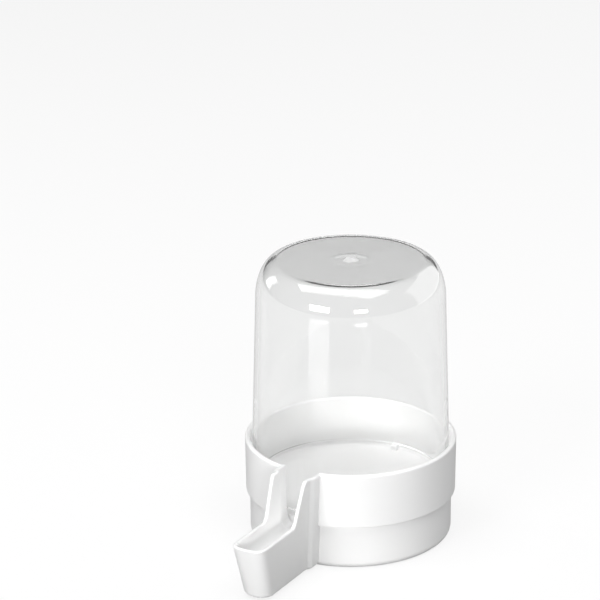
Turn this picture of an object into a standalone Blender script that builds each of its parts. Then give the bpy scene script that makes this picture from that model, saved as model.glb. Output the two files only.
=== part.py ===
"""Bird drinker: a clear tank stands mouth down in a white collar cup with a drinking spout at its side.

Two mouldings make it. The base is a collar cup on a hollow foot, with a drinking spout moulded on.
The tank sits on three ribs in the cup and lifts straight up out of the collar. Its mouth sets the
water level: the trough in the spout fills until the water covers the mouth.
The spout points along -Y. The origin is on the standing surface, under the middle of the drinker.
"""

import math

import bmesh
import bpy

MM = 0.001

# Collar cup and foot
RIM_RADIUS = 35.0 * MM  # outside of the collar at its rim
COLLAR_WALL = 1.7 * MM
COLLAR_DRAFT = 0.2 * MM  # narrowing of the collar's outside from the rim to its lower edge
CUP_DEPTH = 17.5 * MM  # from the rim down to the cup's floor
CUP_FLOOR = 1.6 * MM  # thickness
CUP_CORNER = 0.8 * MM  # round between the cup's wall and floor
RIM_ROUND = 0.6 * MM
FOOT_HEIGHT = 14.4 * MM  # from the standing surface to the collar's lower edge
FOOT_INSET = 1.3 * MM  # foot's outside, in from the collar's lower edge
FOOT_WALL = 2.2 * MM
FOOT_ROUND = 1.2 * MM  # outer round of the standing ring
STEP_HEIGHT = 3.4 * MM  # rounded step under the collar, down to the foot

# Tank
TANK_HEIGHT = 76.6 * MM
TANK_WALL = 1.25 * MM
TANK_FIT = 0.3 * MM  # clearance of the mouth in the cup, all round
TANK_NARROWING = 1.95 * MM  # from the mouth's radius to the radius under the shoulder
SHOULDER_HEIGHT = 12.6 * MM  # elliptic shoulder between the wall and the crown
SHOULDER_WIDTH = 6.7 * MM
MOUTH_ROUND = 0.35 * MM
WELL_RADIUS = 5.8 * MM  # shallow well in the crown, round the moulding gate
WELL_DEPTH = 0.5 * MM
GATE_RADIUS = 2.4 * MM
GATE_DROP = 0.1 * MM  # gate's top, below the crown

# Seat ribs that hold the tank's mouth off the cup's floor, so that water runs out under it
MOUTH_LIFT = 2.0 * MM
SEAT_GAP = 0.3 * MM
SEAT_COUNT = 3
SEAT_LENGTH = 2.4 * MM  # from the cup's wall inwards
SEAT_WIDTH = 2.2 * MM

# Spout, measured outwards from the collar
SPOUT_LENGTH = 34.2 * MM  # to the lip
SPOUT_HALF_WIDTH = 5.9 * MM  # outside, at the trough's rim
SPOUT_DRAFT = math.radians(2.5)  # lean of the sides, wider at the top
SPOUT_WALL = 1.35 * MM
SPOUT_LIFT = 0.8 * MM  # underside, above the standing surface
SPOUT_ROUND = 1.1 * MM  # round of the lower edge
ROOT_LENGTH = 1.8 * MM  # straight part of the wider root
ROOT_FLARE = 1.0 * MM  # how far the root stands out past each side of the spout
ROOT_DROP = 0.1 * MM  # top of the root's walls, below the collar's rim
NECK_LENGTH = 2.4 * MM  # where the root narrows to the spout
NECK_MITRE = math.radians(16.5)
NOSE_LENGTH = 5.0 * MM  # rounded end of the spout
NOSE_RIM_POWER = 3.0  # squareness of the rounded end at the trough's rim: 2 is an ellipse
NOSE_LOW_POWER = 2.0  # the same at the underside
NOSE_SLANT = math.radians(15.0)  # lean of the end, further out at the top
CHEEK_LENGTH = 6.9 * MM  # level top of the cheeks
CHEEK_RUN = 5.6 * MM  # how far out the cheeks slope down to the trough's rim
FREEBOARD = 1.5 * MM  # trough's rim, above the tank's mouth
TROUGH_DEPTH = 6.7 * MM
TROUGH_ROUND = 3.0 * MM
TROUGH_FLAT = 0.4 * MM  # least half-width of the trough's floor between its rounds
SLOT_REACH = 0.3 * MM  # how far the slot's floor runs into the cup, past the ends of the slot's walls

# Facets
TURN_STEPS = 72
ROUND_STEPS = 4
SHOULDER_STEPS = 9
NECK_STEPS = 6
NOSE_STEPS = 8
SMOOTH_ANGLE = math.radians(35.0)
OVERCUT = 3.0 * MM  # how far cutters run past the faces that they open

# Levels and radii that follow from the sizes above
COLLAR_LOW_RADIUS = RIM_RADIUS - COLLAR_DRAFT
FOOT_RADIUS = COLLAR_LOW_RADIUS - FOOT_INSET
FOOT_BORE = FOOT_RADIUS - FOOT_WALL
CUP_BORE = RIM_RADIUS - COLLAR_WALL
FLOOR_LEVEL = FOOT_HEIGHT + CUP_FLOOR
RIM_LEVEL = FLOOR_LEVEL + CUP_DEPTH
MOUTH_LEVEL = FLOOR_LEVEL + MOUTH_LIFT
MOUTH_RADIUS = CUP_BORE - TANK_FIT
CHEEK_LEVEL = RIM_LEVEL - ROOT_DROP
TROUGH_RIM_LEVEL = MOUTH_LEVEL + FREEBOARD
TROUGH_LEVEL = TROUGH_RIM_LEVEL - TROUGH_DEPTH
SPOUT_REACH = RIM_RADIUS + SPOUT_LENGTH
SPOUT_RISE = RIM_LEVEL - TROUGH_RIM_LEVEL
ROOT_HALF_WIDTH = SPOUT_HALF_WIDTH + SPOUT_RISE * math.tan(SPOUT_DRAFT) + ROOT_FLARE  # at the rim
ROOT_BORE = ROOT_HALF_WIDTH - SPOUT_WALL
AXIS_Y = (SPOUT_REACH - RIM_RADIUS) / 2


def clear_scene():
    for obj in list(bpy.data.objects):
        bpy.data.objects.remove(obj, do_unlink=True)


def plastic(name, colour, roughness, transmission=0.0):
    material = bpy.data.materials.new(name)
    material.use_nodes = True
    shader = material.node_tree.nodes["Principled BSDF"]
    shader.inputs["Base Color"].default_value = (*colour, 1.0)
    shader.inputs["Roughness"].default_value = roughness
    shader.inputs["Metallic"].default_value = 0.0
    shader.inputs["Transmission Weight"].default_value = transmission
    return material


def new_object(name, bm):
    """An object from a finished bmesh, with its faces turned outwards."""
    bmesh.ops.recalc_face_normals(bm, faces=bm.faces)
    mesh = bpy.data.meshes.new(name)
    bm.to_mesh(mesh)
    bm.free()
    mesh.shade_smooth()
    mesh.set_sharp_from_angle(angle=SMOOTH_ANGLE)
    obj = bpy.data.objects.new(name, mesh)
    bpy.context.scene.collection.objects.link(obj)
    return obj


def arc(centre, width, height, start, end, steps):
    """Points (radius, level) along an elliptic arc. Angles are in degrees, from outwards to up."""
    points = []
    for step in range(steps + 1):
        angle = math.radians(start + (end - start) * step / steps)
        points.append((centre[0] + width * math.cos(angle), centre[1] + height * math.sin(angle)))
    return points


def turned(name, profile):
    """A solid of revolution about Z. The profile runs from the axis to the axis."""
    bm = bmesh.new()
    verts = [bm.verts.new((radius, 0.0, level)) for radius, level in profile]
    edges = [bm.edges.new(pair) for pair in zip(verts, verts[1:])]
    bmesh.ops.spin(
        bm,
        geom=verts + edges,
        axis=(0, 0, 1),
        cent=(0, 0, 0),
        steps=TURN_STEPS,
        angle=math.tau,
        use_merge=True,
    )
    on_axis = [vert for vert in bm.verts if math.hypot(vert.co.x, vert.co.y) < MM / 1000]
    bmesh.ops.remove_doubles(bm, verts=on_axis, dist=MM / 1000)
    return new_object(name, bm)


def lofted(name, loops):
    """A solid through closed loops of points, one above the other, with flat ends."""
    bm = bmesh.new()
    rings = [[bm.verts.new(point) for point in loop] for loop in loops]
    for lower, upper in zip(rings, rings[1:]):
        for i in range(len(lower)):
            j = (i + 1) % len(lower)
            bm.faces.new((lower[i], lower[j], upper[j], upper[i]))
    bm.faces.new(rings[0])
    bm.faces.new(rings[-1])
    bmesh.ops.triangulate(bm, faces=bm.faces)
    return new_object(name, bm)


def boolean(target, tool, operation):
    """Joins a helper to the target or cuts it out. The helper itself is not part of the drinker."""
    modifier = target.modifiers.new(tool.name, "BOOLEAN")
    modifier.operation = operation
    modifier.solver = "EXACT"
    modifier.object = tool
    tool.parent = target
    tool.hide_render = True
    tool.display_type = "WIRE"


def collar_body():
    """Collar cup on its hollow foot, turned in one piece from the cup's floor round to its underside."""
    corner_centre = (CUP_BORE - CUP_CORNER, FLOOR_LEVEL + CUP_CORNER)
    corner = arc(corner_centre, CUP_CORNER, CUP_CORNER, -90, 0, ROUND_STEPS)
    lip = arc((CUP_BORE + RIM_ROUND, RIM_LEVEL - RIM_ROUND), RIM_ROUND, RIM_ROUND, 180, 90, ROUND_STEPS)
    rim = arc((RIM_RADIUS - RIM_ROUND, RIM_LEVEL - RIM_ROUND), RIM_ROUND, RIM_ROUND, 90, 0, ROUND_STEPS)
    step = arc((FOOT_RADIUS, FOOT_HEIGHT), FOOT_INSET, STEP_HEIGHT, 0, -90, ROUND_STEPS)
    edge = arc((FOOT_RADIUS - FOOT_ROUND, FOOT_ROUND), FOOT_ROUND, FOOT_ROUND, 0, -90, ROUND_STEPS)
    bore = [(FOOT_BORE, 0.0), (FOOT_BORE, FOOT_HEIGHT)]
    return turned("base", [(0.0, FLOOR_LEVEL), *corner, *lip, *rim, *step, *edge, *bore, (0.0, FOOT_HEIGHT)])


def behind_root(bore, outside):
    """How far out a flat end, as wide as the root at its top, lies in the middle of a round wall."""
    return (bore + math.sqrt(outside**2 - ROOT_HALF_WIDTH**2)) / 2


def spout_plan(level, inset, back):
    """Plan of the spout at one level, set in from its outside, from the root at y = -back round the nose.

    The neck bends by about 33 degrees, so the inside of its wall starts sooner by half of that as a mitre.
    """
    half_width = SPOUT_HALF_WIDTH + (level - TROUGH_RIM_LEVEL) * math.tan(SPOUT_DRAFT) - inset
    tip = SPOUT_REACH + (level - TROUGH_RIM_LEVEL) * math.tan(NOSE_SLANT) - inset
    nose_length = NOSE_LENGTH * half_width / SPOUT_HALF_WIDTH
    height = (level - SPOUT_LIFT) / (TROUGH_RIM_LEVEL - SPOUT_LIFT)
    exponent = 2 / (NOSE_LOW_POWER + (NOSE_RIM_POWER - NOSE_LOW_POWER) * height)
    root_width = half_width + ROOT_FLARE
    neck_start = RIM_RADIUS + ROOT_LENGTH - inset * math.tan(NECK_MITRE)
    side = [(root_width, back)]
    for step in range(NECK_STEPS + 1):
        share = step / NECK_STEPS
        blend = (1 - math.cos(math.pi * share)) / 2
        side.append((root_width + (half_width - root_width) * blend, neck_start + NECK_LENGTH * share))
    for step in range(NOSE_STEPS):
        angle = math.pi / 2 * step / NOSE_STEPS
        side.append(
            (
                half_width * math.cos(angle) ** exponent,
                tip - nose_length + nose_length * math.sin(angle) ** exponent,
            )
        )
    right = [(x, -out, level) for x, out in side]
    left = [(-x, y, z) for x, y, z in reversed(right)]
    return [*right, (0.0, -tip, level), *left]


def rounded_bottom(level, inset, radius, back):
    """Loops that start a loft with a rounded lower edge."""
    loops = []
    for step in range(ROUND_STEPS + 1):
        angle = math.pi / 2 * step / ROUND_STEPS
        rise = radius * (1 - math.cos(angle))
        loops.append(spout_plan(level + rise, inset + radius * (1 - math.sin(angle)), back))
    return loops


def spout_shell():
    """Spout and root with the cheeks' slope and the hollow under the trough. It ends inside the walls."""
    in_foot = behind_root(FOOT_BORE, FOOT_RADIUS)
    in_collar = behind_root(CUP_BORE, COLLAR_LOW_RADIUS)
    loops = rounded_bottom(SPOUT_LIFT, 0.0, SPOUT_ROUND, in_foot)
    loops.append(spout_plan(FOOT_HEIGHT - STEP_HEIGHT, 0.0, in_foot))
    loops.append(spout_plan(FOOT_HEIGHT, 0.0, in_collar))
    loops.append(spout_plan(CHEEK_LEVEL, 0.0, in_collar))
    shell = lofted("spout_shell", loops)
    boolean(shell, cheek_cutter(), "DIFFERENCE")
    boolean(shell, spout_cutter(), "DIFFERENCE")
    return shell


def cheek_cutter():
    """Everything above the cheeks' slope and the trough's rim."""
    slope_start = RIM_RADIUS + CHEEK_LENGTH
    slope_end = slope_start + CHEEK_RUN
    rise = CHEEK_LEVEL - TROUGH_RIM_LEVEL
    top = CHEEK_LEVEL + OVERCUT
    end = SPOUT_REACH + rise
    outline = [
        (slope_start - CHEEK_RUN * OVERCUT / rise, top),
        (slope_end, TROUGH_RIM_LEVEL),
        (end, TROUGH_RIM_LEVEL),
        (end, top),
    ]
    sides = (-2 * ROOT_HALF_WIDTH, 2 * ROOT_HALF_WIDTH)
    return lofted("cheek_cutter", [[(x, -out, level) for out, level in outline] for x in sides])


def trough_cutter():
    """Trough, root channel and the slot through the collar into the cup, as one hollow."""
    back = math.sqrt(CUP_BORE**2 - ROOT_BORE**2) - SLOT_REACH
    narrowest = SPOUT_HALF_WIDTH - TROUGH_DEPTH * math.tan(SPOUT_DRAFT) - SPOUT_WALL
    radius = min(TROUGH_ROUND, narrowest - TROUGH_FLAT)
    top = spout_plan(RIM_LEVEL + OVERCUT, SPOUT_WALL, back)
    return lofted("trough_cutter", [*rounded_bottom(TROUGH_LEVEL, SPOUT_WALL, radius, back), top])


def spout_cutter():
    """Hollow under the trough's floor, between the spout's walls. The foot closes its back."""
    levels = (-OVERCUT, TROUGH_LEVEL - SPOUT_WALL)
    return lofted("spout_cutter", [spout_plan(level, SPOUT_WALL, FOOT_BORE) for level in levels])


def seat_ribs():
    """Ribs at the foot of the cup's wall, the first one opposite the spout."""
    bm = bmesh.new()
    inner = CUP_BORE - SEAT_LENGTH
    outer = CUP_BORE + COLLAR_WALL / 2
    low = FLOOR_LEVEL - CUP_FLOOR / 2
    high = MOUTH_LEVEL - SEAT_GAP
    for index in range(SEAT_COUNT):
        angle = math.pi / 2 + math.tau * index / SEAT_COUNT
        along = (math.cos(angle), math.sin(angle))
        across = (-along[1], along[0])
        corners = []
        for level in (low, high):
            for out, aside in ((inner, -1), (outer, -1), (outer, 1), (inner, 1)):
                offset = aside * SEAT_WIDTH / 2
                corners.append(
                    bm.verts.new(
                        (out * along[0] + offset * across[0], out * along[1] + offset * across[1], level)
                    )
                )
        for face in ((0, 1, 2, 3), (4, 5, 6, 7), (0, 1, 5, 4), (1, 2, 6, 5), (2, 3, 7, 6), (3, 0, 4, 7)):
            bm.faces.new([corners[i] for i in face])
    return new_object("seat_ribs", bm)


def make_base():
    base = collar_body()
    boolean(base, spout_shell(), "UNION")
    boolean(base, trough_cutter(), "DIFFERENCE")
    boolean(base, seat_ribs(), "UNION")
    base.data.materials.append(plastic("white_plastic", (0.86, 0.86, 0.86), 0.3))
    base.location = (0.0, AXIS_Y, 0.0)
    return base


def tank_shell():
    """Tank as an upside-down tumbler, with its mouth at level 0."""
    under_shoulder = TANK_HEIGHT - SHOULDER_HEIGHT
    top_radius = MOUTH_RADIUS - TANK_NARROWING
    crown_radius = top_radius - SHOULDER_WIDTH
    inner_height = SHOULDER_HEIGHT - TANK_WALL
    inner_width = SHOULDER_WIDTH - TANK_WALL
    well_floor = TANK_HEIGHT - WELL_DEPTH
    gate_top = TANK_HEIGHT - GATE_DROP
    lip_radius = MOUTH_RADIUS - MOUTH_ROUND
    inner_lip = MOUTH_RADIUS - TANK_WALL + MOUTH_ROUND
    outside = arc((crown_radius, under_shoulder), SHOULDER_WIDTH, SHOULDER_HEIGHT, 90, 0, SHOULDER_STEPS)
    inside = arc((crown_radius, under_shoulder), inner_width, inner_height, 0, 90, SHOULDER_STEPS)
    profile = [
        (0.0, gate_top),
        (GATE_RADIUS, gate_top),
        (GATE_RADIUS, well_floor),
        (WELL_RADIUS - WELL_DEPTH, well_floor),
        (WELL_RADIUS, TANK_HEIGHT),
        *outside,
        *arc((lip_radius, MOUTH_ROUND), MOUTH_ROUND, MOUTH_ROUND, 0, -90, ROUND_STEPS),
        *arc((inner_lip, MOUTH_ROUND), MOUTH_ROUND, MOUTH_ROUND, -90, -180, ROUND_STEPS),
        *inside,
        (0.0, TANK_HEIGHT - TANK_WALL),
    ]
    return turned("tank", profile)


def make_tank():
    tank = tank_shell()
    tank.data.materials.append(plastic("clear_plastic", (0.95, 0.95, 0.95), 0.06, transmission=1.0))
    tank.location = (0.0, AXIS_Y, MOUTH_LEVEL)
    return tank


def main():
    clear_scene()
    make_base()
    make_tank()


main()
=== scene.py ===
"""Looks of the bird drinker: a smooth white base, a clear moulded tank, and a plain studio."""

import math

import bmesh
import bpy
from mathutils import Matrix, Vector


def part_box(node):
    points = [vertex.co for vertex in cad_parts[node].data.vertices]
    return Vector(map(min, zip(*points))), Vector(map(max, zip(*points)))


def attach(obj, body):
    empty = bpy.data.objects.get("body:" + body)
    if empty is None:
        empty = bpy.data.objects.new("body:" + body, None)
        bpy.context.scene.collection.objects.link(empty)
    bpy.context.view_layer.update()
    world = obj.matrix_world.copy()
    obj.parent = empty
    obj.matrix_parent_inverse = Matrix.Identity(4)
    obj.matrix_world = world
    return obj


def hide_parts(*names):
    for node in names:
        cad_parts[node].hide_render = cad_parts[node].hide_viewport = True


MM = 0.001

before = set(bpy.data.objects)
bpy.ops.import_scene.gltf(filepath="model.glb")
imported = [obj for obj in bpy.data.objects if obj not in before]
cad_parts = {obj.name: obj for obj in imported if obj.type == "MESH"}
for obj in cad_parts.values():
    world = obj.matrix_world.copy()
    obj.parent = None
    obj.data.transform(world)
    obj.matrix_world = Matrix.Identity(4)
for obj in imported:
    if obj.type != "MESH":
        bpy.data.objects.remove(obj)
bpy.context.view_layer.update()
base_low, base_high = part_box("base")
tank_low, tank_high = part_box("tank")

# Collar cup and foot
RIM_RADIUS = base_high.x
RIM_LEVEL = base_high.z
AXIS_Y = base_high.y - RIM_RADIUS
CUP_BORE = RIM_RADIUS - 1.7 * MM
COLLAR_LOW_RADIUS = RIM_RADIUS - 0.2 * MM
CUP_CORNER = 0.8 * MM  # round between the cup's wall and floor
RIM_ROUND = 0.84 * MM
FOOT_HEIGHT = 14.4 * MM  # up to the underside of the cup's floor
FOOT_RADIUS = COLLAR_LOW_RADIUS - 1.3 * MM
FOOT_BORE = FOOT_RADIUS - 2.2 * MM
FOOT_ROUND = 2.0 * MM  # outer round of the standing ring
FOOT_EDGE = 0.3 * MM  # inner round of the standing ring
STEP_LEVEL = 15.0 * MM  # lower edge of the collar, above the foot's wall
STEP_ROUND = 0.3 * MM  # round of that edge, and of the corner under it
FLOOR_LEVEL = FOOT_HEIGHT + 1.6 * MM  # cup's floor

# Seat ribs in the cup
SEAT_COUNT = 3
SEAT_LENGTH = 2.4 * MM
SEAT_WIDTH = 2.2 * MM
SEAT_HEIGHT = 1.7 * MM
SEAT_ROUND = 0.3 * MM  # round of the edges, and how far a rib is sunk into floor and wall
SEAT_SEGMENTS = 3

# Tank
MOUTH_RADIUS = tank_high.x
MOUTH_LEVEL = tank_low.z
TANK_HEIGHT = tank_high.z - tank_low.z
TANK_WALL = 1.25 * MM
TANK_NARROWING = 1.95 * MM  # from the mouth to the start of the shoulder
SHOULDER_HEIGHT = 12.6 * MM
SHOULDER_WIDTH = 6.7 * MM
SHOULDER_FILL = 0.5 * MM  # how much sooner the shoulder starts on the inside
MOUTH_ROUND = 0.35 * MM
WELL_RADIUS = 5.8 * MM  # middle of the well's slope
WELL_RUN = 3.0 * MM  # length of that slope
WELL_DEPTH = 0.12 * MM
GATE_RADIUS = 3.3 * MM  # dimple round the moulding gate
GATE_DEPTH = 0.3 * MM

# Broken stub of the moulding gate, in the dimple; its white colour is a painted highlight of the overhead
# lamp
MARK_RADIUS = 2.5 * MM
MARK_HEIGHT = 0.09 * MM
MARK_SINK = 0.05 * MM
MARK_STEPS = 48
MARK_RINGS = (  # share of the radius, height above the dimple's surface
    (0.5, -MARK_SINK), (1.0, -MARK_SINK / 2), (0.92, MARK_HEIGHT / 2), (0.55, MARK_HEIGHT)
)
MARK_WAVES = ((3, 0.12, 0.6), (5, 0.07, 2.0))  # waves round the outline: count, height, turn

# Spout, measured outwards from the collar's axis
SPOUT_REACH = AXIS_Y - base_low.y
SPOUT_HALF_WIDTH = 5.9 * MM  # outside, at the trough's rim
SPOUT_DRAFT = math.radians(2.5)
SPOUT_WALL = 1.35 * MM
SPOUT_LIFT = 0.8 * MM  # underside above the standing surface
SPOUT_ROUND = 1.1 * MM  # round of the lower edge, outside
UNDER_ROUND = 0.2 * MM  # round of the lower edge, inside
LIP_ROUND = 0.65 * MM  # round of the wall's upper edges
ROOT_END = RIM_RADIUS + 1.8 * MM
ROOT_FLARE = 1.0 * MM  # how far the root stands out past each side
NECK_LENGTH = 2.4 * MM
NECK_MITRE = math.radians(16.5)
NOSE_LENGTH = 5.0 * MM
NOSE_RIM_POWER = 3.0  # squareness of the nose at the trough's rim: 2 is an ellipse
NOSE_LOW_POWER = 2.0  # the same at the underside
NOSE_SLANT = math.radians(15.0)
SIDE_END = SPOUT_REACH - 3 * NOSE_LENGTH  # last cut across the straight sides
CHEEK_LEVEL = RIM_LEVEL - 0.1 * MM
CHEEK_END = RIM_RADIUS + 6.9 * MM  # where the cheeks start to fall
CHEEK_RUN = 5.6 * MM  # length of their slope
CHEEK_ROUND = 1.0 * MM  # half-length of the bends above and below the cheeks' slope
TROUGH_RIM_LEVEL = MOUTH_LEVEL + 1.5 * MM
TROUGH_LEVEL = TROUGH_RIM_LEVEL - 6.7 * MM
TROUGH_ROUND = 3.0 * MM
SLOT_REACH = 0.3 * MM  # how far the slot's floor runs into the cup
SLOT_OVERLAP = 0.03 * MM  # how far the collar is cut behind the surface of the spout's walls

# Facets
TURN_STEPS = 256
ROUND_STEPS = 6
SHOULDER_STEPS = 28
SLOPE_STEPS = 12
NECK_STEPS = 12
NOSE_STEPS = 24
SIDE_STEPS = (4, 8, 10, 8, 10)  # level cheek, upper bend, slope, lower bend, trough
SMOOTH_ANGLE = math.radians(40.0)
HOLD = 0.25 * MM  # from the end of a long straight to the point that keeps it flat
LONG_STRAIGHT = 4 * HOLD
WELD = MM / 1000  # points closer than this are one

# Materials
NOISE_LOW = 0.2  # range of values that a noise mostly keeps to
NOISE_HIGH = 0.8
WHITE_IOR = 1.5
CLEAR_IOR = 1.55
CLEAR_COLOUR = (0.948, 0.95, 0.948, 1.0)
PASSED = (0.97, 0.97, 0.97, 1.0)  # light that passes straight through a clear wall
CAUGHT_DEPTH = 1.5  # light that was mirrored more often than this is caught in a wall
SCATTERED_DEPTH = 0.5  # light that was scattered more often than this is no longer a look

# Camera: its place, seen from the collar's axis
CAMERA_AZIMUTH = math.radians(28.7)
CAMERA_DISTANCE = 0.850
CAMERA_HEIGHT = 0.3925
CAMERA_PITCH = math.radians(22.415)
IMAGE_SIZE = 600
FOCAL_PIXELS = 2780.0
AXIS_PIXEL = (350.6, 410.0)  # where the camera's aim at the collar's axis falls in the image
SENSOR_MM = 36.0

# Studio. Azimuths count from the camera, to the right
WHITE = (1.0, 1.0, 1.0, 1.0)
FLOOR_HALF = 4.0
FLOOR_GREY = (0.13, 0.13, 0.13, 1.0)  # the floor as it lights the drinker
FLOOR_ROUGHNESS = 0.05
FLOOR_SPECULAR = 0.2
FLOOR_PALE = (0.9, 0.9, 0.9, 1.0)  # the floor as the camera sees it
FLOOR_GLOW = 0.82  # share of plain white in that; the rest takes the shadow
GLOSS_SHARE = 0.4  # how much of the pale floor shows in gloss on the plastic
STUDIO_GREY = 0.27
STUDIO_DARK = 0.08
DARK_AZIMUTH = math.radians(200.0)
DARK_ELEVATION = math.radians(38.0)
DARK_ANGLE = math.radians(30.0)
DARK_FADE = 1.7  # outer edge of the dark part, in multiples of that angle
LAMPS = (  # name, azimuth and elevation in degrees, distance, width, height, watts, shows in gloss
    ("left_box", -38.0, 12.0, 3.0, 1.3, 0.56, 55.0, True),
    ("right_box", 12.5, 11.5, 3.0, 0.8, 0.31, 39.0, True),
    ("overhead", -25.0, 77.0, 0.8, 1.2, 0.5, 7.0, True),
    ("left_kicker", -125.0, 18.0, 0.9, 0.2, 0.36, 0.7, True),
    ("right_kicker", 120.0, 22.0, 0.9, 1.2, 0.7, 2.5, True),
    ("back_fill", 180.0, 6.0, 3.0, 1.6, 0.5, 26.0, False),
)


def arc(centre, width, height, start, end, steps=ROUND_STEPS):
    """Points (radius, level) along an elliptic arc. Angles are in degrees, from outwards to up."""
    points = []
    for step in range(steps + 1):
        angle = math.radians(start + (end - start) * step / steps)
        points.append((centre[0] + width * math.cos(angle), centre[1] + height * math.sin(angle)))
    return points


def slope(start, end, steps=SLOPE_STEPS):
    """Points (radius, level) along a slope that starts and ends level."""
    points = []
    for step in range(steps + 1):
        share = step / steps
        rise = (1 - math.cos(math.pi * share)) / 2
        points.append((start[0] + (end[0] - start[0]) * share, start[1] + (end[1] - start[1]) * rise))
    return points


def quarter():
    """Angles along a quarter turn, in radians."""
    return [math.pi / 2 * step / ROUND_STEPS for step in range(ROUND_STEPS + 1)]


def finished(name, bm, material):
    """An object from a bmesh in the shared frame, shaded smooth between its edges."""
    bmesh.ops.recalc_face_normals(bm, faces=bm.faces)
    mesh = bpy.data.meshes.new(name)
    bm.to_mesh(mesh)
    bm.free()
    mesh.shade_smooth()
    mesh.set_sharp_from_angle(angle=SMOOTH_ANGLE)
    mesh.materials.append(material)
    piece = bpy.data.objects.new(name, mesh)
    bpy.context.scene.collection.objects.link(piece)
    return piece


def held(profile):
    """The profile with a point near both ends of each long straight, to keep it flat when smooth."""
    points = [profile[0]]
    for start, end in zip(profile, profile[1:]):
        length = math.dist(start, end)
        if length > LONG_STRAIGHT:
            for share in (HOLD / length, 1 - HOLD / length):
                points.append(tuple(a + (b - a) * share for a, b in zip(start, end)))
        points.append(end)
    return points


def turned(profile, lift):
    """A bmesh turned about the collar's axis. The profile runs from the axis to the axis."""
    bm = bmesh.new()
    verts = [bm.verts.new((radius, 0.0, level + lift)) for radius, level in held(profile)]
    edges = [bm.edges.new(pair) for pair in zip(verts, verts[1:])]
    bmesh.ops.spin(
        bm, geom=verts + edges, axis=(0, 0, 1), cent=(0, 0, 0),
        steps=TURN_STEPS, angle=math.tau, use_merge=True,
    )
    on_axis = [vert for vert in bm.verts if math.hypot(vert.co.x, vert.co.y) < WELD]
    bmesh.ops.remove_doubles(bm, verts=on_axis, dist=WELD)
    bmesh.ops.translate(bm, verts=bm.verts, vec=(0.0, AXIS_Y, 0.0))
    return bm


# Materials

def new_material(name):
    """A material and its Principled shader."""
    material = bpy.data.materials.new(name)
    material.use_nodes = True
    return material, material.node_tree.nodes["Principled BSDF"]


def object_coordinates(material):
    """The place on the object, as a vector."""
    return material.node_tree.nodes.new("ShaderNodeTexCoord").outputs["Object"]


def noise(material, coordinates, scale, detail):
    """A value that varies softly from place to place."""
    node = material.node_tree.nodes.new("ShaderNodeTexNoise")
    node.inputs["Scale"].default_value = scale
    node.inputs["Detail"].default_value = detail
    material.node_tree.links.new(coordinates, node.inputs["Vector"])
    return node.outputs["Fac"]


def ranged(material, value, low, high):
    """The value, from a noise's usual range, mapped to low to high."""
    node = material.node_tree.nodes.new("ShaderNodeMapRange")
    node.inputs["From Min"].default_value = NOISE_LOW
    node.inputs["From Max"].default_value = NOISE_HIGH
    node.inputs["To Min"].default_value = low
    node.inputs["To Max"].default_value = high
    material.node_tree.links.new(value, node.inputs["Value"])
    return node.outputs["Result"]


def ramp(material, value, low, high):
    """The value as a colour between low and high."""
    node = material.node_tree.nodes.new("ShaderNodeValToRGB")
    for element, position, colour in zip(node.color_ramp.elements, (NOISE_LOW, NOISE_HIGH), (low, high)):
        element.position = position
        element.color = (*colour, 1.0)
    material.node_tree.links.new(value, node.inputs["Fac"])
    return node.outputs["Color"]


def bump(material, height, distance, strength):
    """The surface's direction, as if the height were modelled."""
    node = material.node_tree.nodes.new("ShaderNodeBump")
    node.inputs["Strength"].default_value = strength
    node.inputs["Distance"].default_value = distance
    material.node_tree.links.new(height, node.inputs["Height"])
    return node.outputs["Normal"]


def white_plastic():
    """Moulded white plastic: faint clouding, uneven gloss and a very fine orange peel."""
    material, shader = new_material("moulded_white_plastic")
    coordinates = object_coordinates(material)
    links = material.node_tree.links
    clouds = noise(material, coordinates, scale=45.0, detail=3.0)
    peel = noise(material, coordinates, scale=900.0, detail=2.0)
    colour = ramp(material, clouds, low=(0.89, 0.89, 0.89), high=(0.905, 0.905, 0.9))
    links.new(colour, shader.inputs["Base Color"])
    links.new(ranged(material, clouds, low=0.27, high=0.33), shader.inputs["Roughness"])
    links.new(bump(material, peel, distance=0.004 * MM, strength=0.5), shader.inputs["Normal"])
    shader.inputs["IOR"].default_value = WHITE_IOR
    return material


def clear_plastic():
    """Clear moulded plastic: a slight grey tint, faint flow waves and uneven polish."""
    material, shader = new_material("moulded_clear_plastic")
    coordinates = object_coordinates(material)
    links = material.node_tree.links
    flow = noise(material, coordinates, scale=26.0, detail=2.0)
    polish = noise(material, coordinates, scale=120.0, detail=3.0)
    links.new(ranged(material, polish, low=0.01, high=0.04), shader.inputs["Roughness"])
    links.new(bump(material, flow, distance=0.05 * MM, strength=0.5), shader.inputs["Normal"])
    shader.inputs["Base Color"].default_value = CLEAR_COLOUR
    shader.inputs["IOR"].default_value = CLEAR_IOR
    shader.inputs["Transmission Weight"].default_value = 1.0
    let_light_through(material, shader)
    return material


def painted_highlight_plastic():
    """Pale rough plastic for the gate's stub: its white is a painted highlight of the overhead lamp."""
    material, shader = new_material("painted_highlight_plastic")
    coordinates = object_coordinates(material)
    links = material.node_tree.links
    grain = noise(material, coordinates, scale=1500.0, detail=3.0)
    # the white colour is a painted highlight of the overhead lamp in the gate's dimple
    colour = ramp(material, grain, low=(0.7, 0.7, 0.7), high=(0.8, 0.8, 0.8))
    links.new(colour, shader.inputs["Base Color"])
    links.new(ranged(material, grain, low=0.45, high=0.65), shader.inputs["Roughness"])
    links.new(bump(material, grain, distance=0.05 * MM, strength=0.6), shader.inputs["Normal"])
    shader.inputs["IOR"].default_value = CLEAR_IOR
    return material


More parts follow.
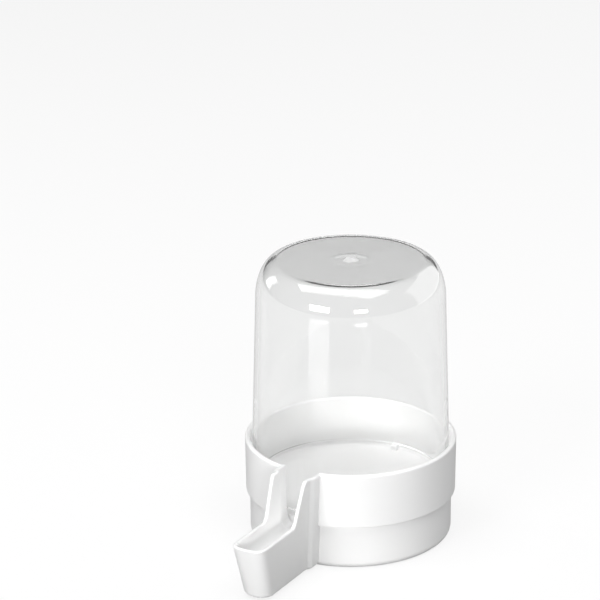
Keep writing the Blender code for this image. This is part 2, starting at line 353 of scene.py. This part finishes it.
def let_light_through(material, shader):
    """Clear walls let light pass straight to other surfaces, and light caught in them leak out."""
    tree = material.node_tree
    path = tree.nodes.new("ShaderNodeLightPath").outputs
    caught = calculated(tree, "GREATER_THAN", path["Glossy Depth"], CAUGHT_DEPTH)
    shown = shader.outputs["BSDF"]
    for ray in (path["Is Shadow Ray"], path["Is Diffuse Ray"], caught):
        passing = tree.nodes.new("ShaderNodeBsdfTransparent")
        passing.inputs["Color"].default_value = PASSED
        shown = mixed(tree, ray, shown, passing.outputs["BSDF"])
    tree.links.new(shown, tree.nodes["Material Output"].inputs["Surface"])


def calculated(tree, operation, first, second):
    """Result of a Math node on two values, each a socket or a number."""
    node = tree.nodes.new("ShaderNodeMath")
    node.operation = operation
    for socket, value in zip(node.inputs, (first, second)):
        if isinstance(value, float):
            socket.default_value = value
        else:
            tree.links.new(value, socket)
    return node.outputs["Value"]


def mixed(tree, share, first, second):
    """Two shaders mixed by a socket's value: 0 is the first."""
    node = tree.nodes.new("ShaderNodeMixShader")
    tree.links.new(share, node.inputs["Fac"])
    tree.links.new(first, node.inputs[1])
    tree.links.new(second, node.inputs[2])
    return node.outputs["Shader"]


# Collar cup and foot

def make_collar(material):
    """Collar cup on its hollow foot, with the slot towards the spout cut out of the collar."""
    corner = arc((CUP_BORE - CUP_CORNER, FLOOR_LEVEL + CUP_CORNER), CUP_CORNER, CUP_CORNER, -90, 0)
    lip = arc((CUP_BORE + RIM_ROUND, RIM_LEVEL - RIM_ROUND), RIM_ROUND, RIM_ROUND, 180, 90)
    rim = arc((RIM_RADIUS - RIM_ROUND, RIM_LEVEL - RIM_ROUND), RIM_ROUND, RIM_ROUND, 90, 0)
    step = arc((COLLAR_LOW_RADIUS - STEP_ROUND, STEP_LEVEL + STEP_ROUND), STEP_ROUND, STEP_ROUND, 0, -90)
    step += arc((FOOT_RADIUS + STEP_ROUND, STEP_LEVEL - STEP_ROUND), STEP_ROUND, STEP_ROUND, 90, 180)
    edge = arc((FOOT_RADIUS - FOOT_ROUND, FOOT_ROUND), FOOT_ROUND, FOOT_ROUND, 0, -90)
    inner_edge = arc((FOOT_BORE + FOOT_EDGE, FOOT_EDGE), FOOT_EDGE, FOOT_EDGE, -90, -180)
    under = [(FOOT_BORE, FOOT_HEIGHT), (0.0, FOOT_HEIGHT)]
    profile = [(0.0, FLOOR_LEVEL), *corner, *lip, *rim, *step, *edge, *inner_edge, *under]
    collar = finished("collar", turned(profile, 0.0), material)
    cutter = slot_cutter(material)
    cut = collar.modifiers.new("slot", "BOOLEAN")
    cut.operation = "DIFFERENCE"
    cut.solver = "EXACT"
    cut.object = cutter
    apply_modifiers(collar)
    collar.data.set_sharp_from_angle(angle=SMOOTH_ANGLE)
    bpy.data.objects.remove(cutter, do_unlink=True)
    return collar


def slot_cutter(material):
    """Block for the slot, with the trough's section. Its sides end just behind the spout's walls."""
    section = [pair for pair in wall_section(CHEEK_LEVEL, 0.0) if pair[1] >= SPOUT_WALL - LIP_ROUND]
    section = [pair for pair in section if pair[0] >= TROUGH_LEVEL]
    right = []
    for level, inset in section:
        x = plan_point(("end", 0.0), level, inset)[0]
        right.append((x + SLOT_OVERLAP, level - SLOT_OVERLAP))
    over = RIM_LEVEL + SPOUT_WALL
    outline = [(right[0][0], over), *right]
    outline += [(-x, level) for x, level in reversed(outline)]
    bm = bmesh.new()
    ends = []
    for out in (slot_end(), ROOT_END):
        ends.append([bm.verts.new((x, AXIS_Y - out, level)) for x, level in outline])
    for end in ends:
        bm.faces.new(end)
    for i in range(len(outline)):
        bm.faces.new((ends[0][i - 1], ends[0][i], ends[1][i], ends[1][i - 1]))
    return finished("slot_cutter", bm, material)


def slot_end():
    """How far from the axis the slot's floor ends, in the cup's floor."""
    half_width = plan_point(("end", 0.0), RIM_LEVEL, SPOUT_WALL)[0]
    return math.sqrt(CUP_BORE**2 - half_width**2) - SLOT_REACH


def apply_modifiers(piece):
    """Gives the piece the mesh that its modifiers make."""
    graph = bpy.context.evaluated_depsgraph_get()
    mesh = bpy.data.meshes.new_from_object(piece.evaluated_get(graph), depsgraph=graph)
    old = piece.data
    piece.modifiers.clear()
    piece.data = mesh
    bpy.data.meshes.remove(old)


def make_seat_ribs(material):
    """Low ribs at the foot of the cup's wall, the first one opposite the spout."""
    bm = bmesh.new()
    length = SEAT_LENGTH + SEAT_ROUND
    place = (CUP_BORE + SEAT_ROUND - length / 2, 0.0, (SEAT_HEIGHT - SEAT_ROUND) / 2)
    for index in range(SEAT_COUNT):
        rib = bmesh.ops.create_cube(bm, size=1.0)["verts"]
        bmesh.ops.scale(bm, vec=(length, SEAT_WIDTH, SEAT_HEIGHT + SEAT_ROUND), verts=rib)
        bmesh.ops.translate(bm, vec=place, verts=rib)
        turn = Matrix.Rotation(math.pi / 2 + math.tau * index / SEAT_COUNT, 3, "Z")
        bmesh.ops.rotate(bm, cent=(0, 0, 0), matrix=turn, verts=rib)
    bmesh.ops.bevel(
        bm, geom=bm.edges, offset=SEAT_ROUND, offset_type="OFFSET",
        segments=SEAT_SEGMENTS, profile=0.5, affect="EDGES",
    )
    bmesh.ops.translate(bm, vec=(0.0, AXIS_Y, FLOOR_LEVEL), verts=bm.verts)
    return finished("seat_ribs", bm, material)


# Spout

def cheek_top(out):
    """Level of the wall's upper edge and its tilt, at a distance out from the axis."""
    fall = (CHEEK_LEVEL - TROUGH_RIM_LEVEL) / CHEEK_RUN
    level = CHEEK_LEVEL
    tilt = 0.0
    for corner, turn in ((CHEEK_END, -fall), (CHEEK_END + CHEEK_RUN, fall)):
        run = out - (corner - CHEEK_ROUND)
        if run > 2 * CHEEK_ROUND:
            level += turn * (run - CHEEK_ROUND)
            tilt += turn
        elif run > 0:
            level += turn * run**2 / (4 * CHEEK_ROUND)
            tilt += turn * run / (2 * CHEEK_ROUND)
    return level, tilt


def side_stations():
    """Cuts across one side, from the collar to the nose's tip: (kind, distance out or share)."""
    stations = [("end", 0.0)]
    stations += [("neck", step / NECK_STEPS) for step in range(NECK_STEPS + 1)]
    stops = [ROOT_END + NECK_LENGTH]
    for corner in (CHEEK_END, CHEEK_END + CHEEK_RUN):
        stops += [corner - CHEEK_ROUND, corner + CHEEK_ROUND]
    stops.append(SIDE_END)
    for start, end, count in zip(stops, stops[1:], SIDE_STEPS):
        stations += [("side", start + (end - start) * step / count) for step in range(1, count + 1)]
    stations += [("nose", step / NOSE_STEPS) for step in range(NOSE_STEPS + 1)]
    return stations


def plan_point(station, level, inset):
    """A station's place on the right side, at a level and set in from the outside: (x, distance out)."""
    kind, share = station
    half_width = SPOUT_HALF_WIDTH + (level - TROUGH_RIM_LEVEL) * math.tan(SPOUT_DRAFT) - inset
    tip = SPOUT_REACH + (level - TROUGH_RIM_LEVEL) * math.tan(NOSE_SLANT) - inset
    nose = NOSE_LENGTH * half_width / SPOUT_HALF_WIDTH
    root_width = half_width + ROOT_FLARE
    neck_start = ROOT_END - inset * math.tan(NECK_MITRE)
    if kind == "end":
        return root_width, math.sqrt(CUP_BORE**2 - max(root_width, 0.0) ** 2)
    if kind == "neck":
        blend = (1 - math.cos(math.pi * share)) / 2
        return root_width + (half_width - root_width) * blend, neck_start + NECK_LENGTH * share
    if kind == "side":
        return half_width, share
    height = (level - SPOUT_LIFT) / (TROUGH_RIM_LEVEL - SPOUT_LIFT)
    exponent = 2 / (NOSE_LOW_POWER + (NOSE_RIM_POWER - NOSE_LOW_POWER) * height)
    angle = math.pi / 2 * share
    x = half_width * max(math.cos(angle), 0.0) ** exponent
    return x, tip - nose + nose * math.sin(angle) ** exponent


def wall_section(top, tilt):
    """Pairs (level, inset) round the wall: from under the trough up its outside, over to the trough."""
    section = [(TROUGH_LEVEL - SPOUT_WALL, SPOUT_WALL)]
    for angle in quarter():
        level = SPOUT_LIFT + UNDER_ROUND * (1 - math.sin(angle))
        section.append((level, SPOUT_WALL - UNDER_ROUND * (1 - math.cos(angle))))
    for angle in quarter():
        level = SPOUT_LIFT + SPOUT_ROUND * (1 - math.cos(angle))
        section.append((level, SPOUT_ROUND * (1 - math.sin(angle))))
    rise = LIP_ROUND * math.sqrt(1 + tilt**2)
    for angle in quarter():
        section.append((top - rise * (1 - math.sin(angle)), LIP_ROUND * (1 - math.cos(angle))))
    for angle in quarter():
        level = top - rise * (1 - math.cos(angle))
        section.append((level, SPOUT_WALL - LIP_ROUND * (1 - math.sin(angle))))
    for angle in quarter():
        level = TROUGH_LEVEL + TROUGH_ROUND * (1 - math.sin(angle))
        section.append((level, SPOUT_WALL + TROUGH_ROUND * (1 - math.cos(angle))))
    return section


def make_spout(material):
    """One wall from the collar round the nose and back, with the trough's floor between."""
    bm = bmesh.new()
    stations = side_stations()
    rows = []
    for station in stations:
        out = plan_point(station, TROUGH_RIM_LEVEL, SPOUT_WALL / 2)[1]
        section = wall_section(*cheek_top(out))
        rows.append([(*plan_point(station, level, inset), level) for level, inset in section])
    right = [[bm.verts.new((x, AXIS_Y - out, level)) for x, out, level in row] for row in rows]
    left = [[bm.verts.new((-x, AXIS_Y - out, level)) for x, out, level in row] for row in rows]
    for side in (right, left):
        for near, far in zip(side, side[1:]):
            for i in range(len(near) - 1):
                bm.faces.new((near[i], near[i + 1], far[i + 1], far[i]))
    for row in (0, -1):
        for i in range(len(stations) - 1):
            bm.faces.new((right[i][row], right[i + 1][row], left[i + 1][row], left[i][row]))
    bm.faces.new([*right[0], *reversed(left[0])])
    bmesh.ops.remove_doubles(bm, verts=bm.verts, dist=WELD)
    return finished("spout", bm, material)


# Tank

def make_tank(material):
    """Upside-down tumbler with a flat crown, a shallow well and the dimple of the moulding gate."""
    under_shoulder = TANK_HEIGHT - SHOULDER_HEIGHT
    crown_radius = MOUTH_RADIUS - TANK_NARROWING - SHOULDER_WIDTH
    well_floor = TANK_HEIGHT - WELL_DEPTH
    gate = slope((0.0, well_floor - GATE_DEPTH), (GATE_RADIUS, well_floor))
    well = slope((WELL_RADIUS - WELL_RUN / 2, well_floor), (WELL_RADIUS + WELL_RUN / 2, TANK_HEIGHT))
    outside = arc((crown_radius, under_shoulder), SHOULDER_WIDTH, SHOULDER_HEIGHT, 90, 0, SHOULDER_STEPS)
    inside = arc(
        (crown_radius - SHOULDER_FILL, under_shoulder),
        SHOULDER_WIDTH + SHOULDER_FILL - TANK_WALL, SHOULDER_HEIGHT - TANK_WALL, 0, 90, SHOULDER_STEPS,
    )
    mouth_out = arc((MOUTH_RADIUS - MOUTH_ROUND, MOUTH_ROUND), MOUTH_ROUND, MOUTH_ROUND, 0, -90)
    inner_lip = MOUTH_RADIUS - TANK_WALL + MOUTH_ROUND
    mouth_in = arc((inner_lip, MOUTH_ROUND), MOUTH_ROUND, MOUTH_ROUND, -90, -180)
    profile = [*gate, *well, *outside, *mouth_out, *mouth_in, *inside]
    profile.append((0.0, TANK_HEIGHT - TANK_WALL))
    return finished("clear_tank", turned(profile, MOUTH_LEVEL), material)


def make_gate_highlight_stub(material):
    """Low broken stub of the moulding gate, uneven in outline, sunk a little into its dimple. Its white
    material is a painted highlight.
    """
    bottom = MOUTH_LEVEL + TANK_HEIGHT - WELL_DEPTH - GATE_DEPTH
    bm = bmesh.new()
    rings = []
    for share, lift in MARK_RINGS:
        ring = []
        for step in range(MARK_STEPS):
            angle = math.tau * step / MARK_STEPS
            uneven = 1 + sum(height * math.sin(count * angle + turn) for count, height, turn in MARK_WAVES)
            radius = MARK_RADIUS * share * uneven
            dimple = GATE_DEPTH * (1 - math.cos(math.pi * radius / GATE_RADIUS)) / 2
            place = (radius * math.cos(angle), AXIS_Y + radius * math.sin(angle), bottom + dimple + lift)
            ring.append(bm.verts.new(place))
        rings.append(ring)
    for low, high in zip(rings, rings[1:]):
        for i in range(MARK_STEPS):
            bm.faces.new((low[i - 1], low[i], high[i], high[i - 1]))
    for ring, lift in ((rings[0], -MARK_SINK), (rings[-1], MARK_HEIGHT)):
        middle = bm.verts.new((0.0, AXIS_Y, bottom + lift))
        for i in range(MARK_STEPS):
            bm.faces.new((ring[i - 1], ring[i], middle))
    return finished("gate_highlight_stub", bm, material)


# Studio

def direction(azimuth, elevation):
    """Unit vector from the drinker towards a place round it, with azimuth 0 in front of the spout."""
    flat = math.cos(elevation)
    return Vector((math.sin(azimuth) * flat, -math.cos(azimuth) * flat, math.sin(elevation)))


def make_camera():
    """Camera that sees the drinker as the photograph does."""
    camera = bpy.data.objects.new("camera", bpy.data.cameras.new("camera"))
    camera.data.sensor_width = SENSOR_MM
    camera.data.lens = FOCAL_PIXELS * SENSOR_MM / IMAGE_SIZE
    aside = math.atan((AXIS_PIXEL[0] - IMAGE_SIZE / 2) / FOCAL_PIXELS)
    above = math.atan((AXIS_PIXEL[1] - IMAGE_SIZE / 2) / FOCAL_PIXELS)
    tilt = Matrix.Rotation(math.pi / 2 - CAMERA_PITCH, 4, "X")
    aim = Matrix.Rotation(CAMERA_AZIMUTH, 4, "Z") @ tilt
    framing = Matrix.Rotation(above, 4, "X") @ Matrix.Rotation(aside, 4, "Y")
    place = direction(CAMERA_AZIMUTH, 0.0) * CAMERA_DISTANCE + Vector((0.0, AXIS_Y, CAMERA_HEIGHT))
    camera.matrix_world = Matrix.Translation(place) @ aim @ framing
    bpy.context.scene.collection.objects.link(camera)
    bpy.context.scene.camera = camera


def soft_light(name, azimuth, elevation, distance, width, height, power, in_gloss):
    """Rectangular lamp, aimed at the drinker."""
    light = bpy.data.lights.new(name, "AREA")
    light.shape = "RECTANGLE"
    light.size = width
    light.size_y = height
    light.energy = power
    lamp = bpy.data.objects.new(name, light)
    target = Vector((0.0, AXIS_Y, RIM_LEVEL))
    away = direction(CAMERA_AZIMUTH + math.radians(azimuth), math.radians(elevation))
    lamp.location = target + away * distance
    lamp.rotation_euler = (-away).to_track_quat("-Z", "Y").to_euler()
    lamp.visible_glossy = in_gloss
    lamp.visible_transmission = in_gloss
    bpy.context.scene.collection.objects.link(lamp)


def seen_by_camera(tree, gloss):
    """1 where the camera looks straight or through clear plastic, gloss where mirrored, 0 otherwise."""
    path = tree.nodes.new("ShaderNodeLightPath").outputs
    looks = calculated(tree, "MAXIMUM", path["Is Camera Ray"], path["Transmission Depth"])
    looks = calculated(tree, "MINIMUM", looks, 1.0)
    mirrored = calculated(tree, "MULTIPLY", path["Is Glossy Ray"], gloss)
    either = calculated(tree, "MAXIMUM", looks, mirrored)
    unscattered = calculated(tree, "LESS_THAN", path["Diffuse Depth"], SCATTERED_DEPTH)
    return calculated(tree, "MULTIPLY", either, unscattered)


def make_floor():
    """Pale floor that stays near white to the camera and keeps a soft shadow."""
    bm = bmesh.new()
    bmesh.ops.create_grid(bm, x_segments=1, y_segments=1, size=FLOOR_HALF)
    material, shader = new_material("pale_floor")
    tree = material.node_tree
    shader.inputs["Base Color"].default_value = FLOOR_GREY
    shader.inputs["Roughness"].default_value = FLOOR_ROUGHNESS
    shader.inputs["Specular IOR Level"].default_value = FLOOR_SPECULAR
    matt = tree.nodes.new("ShaderNodeBsdfDiffuse")
    matt.inputs["Color"].default_value = FLOOR_PALE
    glow = tree.nodes.new("ShaderNodeEmission")
    glow.inputs["Color"].default_value = WHITE
    pale = tree.nodes.new("ShaderNodeMixShader")
    pale.inputs["Fac"].default_value = FLOOR_GLOW
    tree.links.new(matt.outputs["BSDF"], pale.inputs[1])
    tree.links.new(glow.outputs["Emission"], pale.inputs[2])
    share = seen_by_camera(tree, GLOSS_SHARE)
    shown = mixed(tree, share, shader.outputs["BSDF"], pale.outputs["Shader"])
    tree.links.new(shown, tree.nodes["Material Output"].inputs["Surface"])
    finished("floor", bm, material)


def make_world():
    """White to the camera; to the surfaces an even grey studio with a dark part high up behind."""
    world = bpy.data.worlds.new("studio")
    bpy.context.scene.world = world
    world.use_nodes = True
    tree = world.node_tree
    coordinates = tree.nodes.new("ShaderNodeTexCoord")
    behind = tree.nodes.new("ShaderNodeVectorMath")
    behind.operation = "DOT_PRODUCT"
    behind.inputs[1].default_value = direction(CAMERA_AZIMUTH + DARK_AZIMUTH, DARK_ELEVATION)
    level = tree.nodes.new("ShaderNodeMapRange")
    level.interpolation_type = "SMOOTHSTEP"
    level.inputs["From Min"].default_value = math.cos(DARK_ANGLE * DARK_FADE)
    level.inputs["From Max"].default_value = math.cos(DARK_ANGLE)
    level.inputs["To Min"].default_value = STUDIO_GREY
    level.inputs["To Max"].default_value = STUDIO_DARK
    tree.links.new(coordinates.outputs["Generated"], behind.inputs[0])
    tree.links.new(behind.outputs["Value"], level.inputs["Value"])
    shown = calculated(tree, "MAXIMUM", level.outputs["Result"], seen_by_camera(tree, 0.0))
    tree.links.new(shown, tree.nodes["Background"].inputs["Strength"])


make_camera()
make_floor()
make_world()
for lamp in LAMPS:
    soft_light(*lamp)

white = white_plastic()
clear = clear_plastic()
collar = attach(make_collar(white), "base")
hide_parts("base")
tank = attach(make_tank(clear), "tank")
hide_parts("tank")
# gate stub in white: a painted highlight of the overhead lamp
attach(make_gate_highlight_stub(painted_highlight_plastic()), "tank")
for piece in (collar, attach(make_spout(white), "base"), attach(make_seat_ribs(white), "base")):
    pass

bpy.context.scene.view_settings.view_transform = "Standard"
bpy.context.view_layer.update()
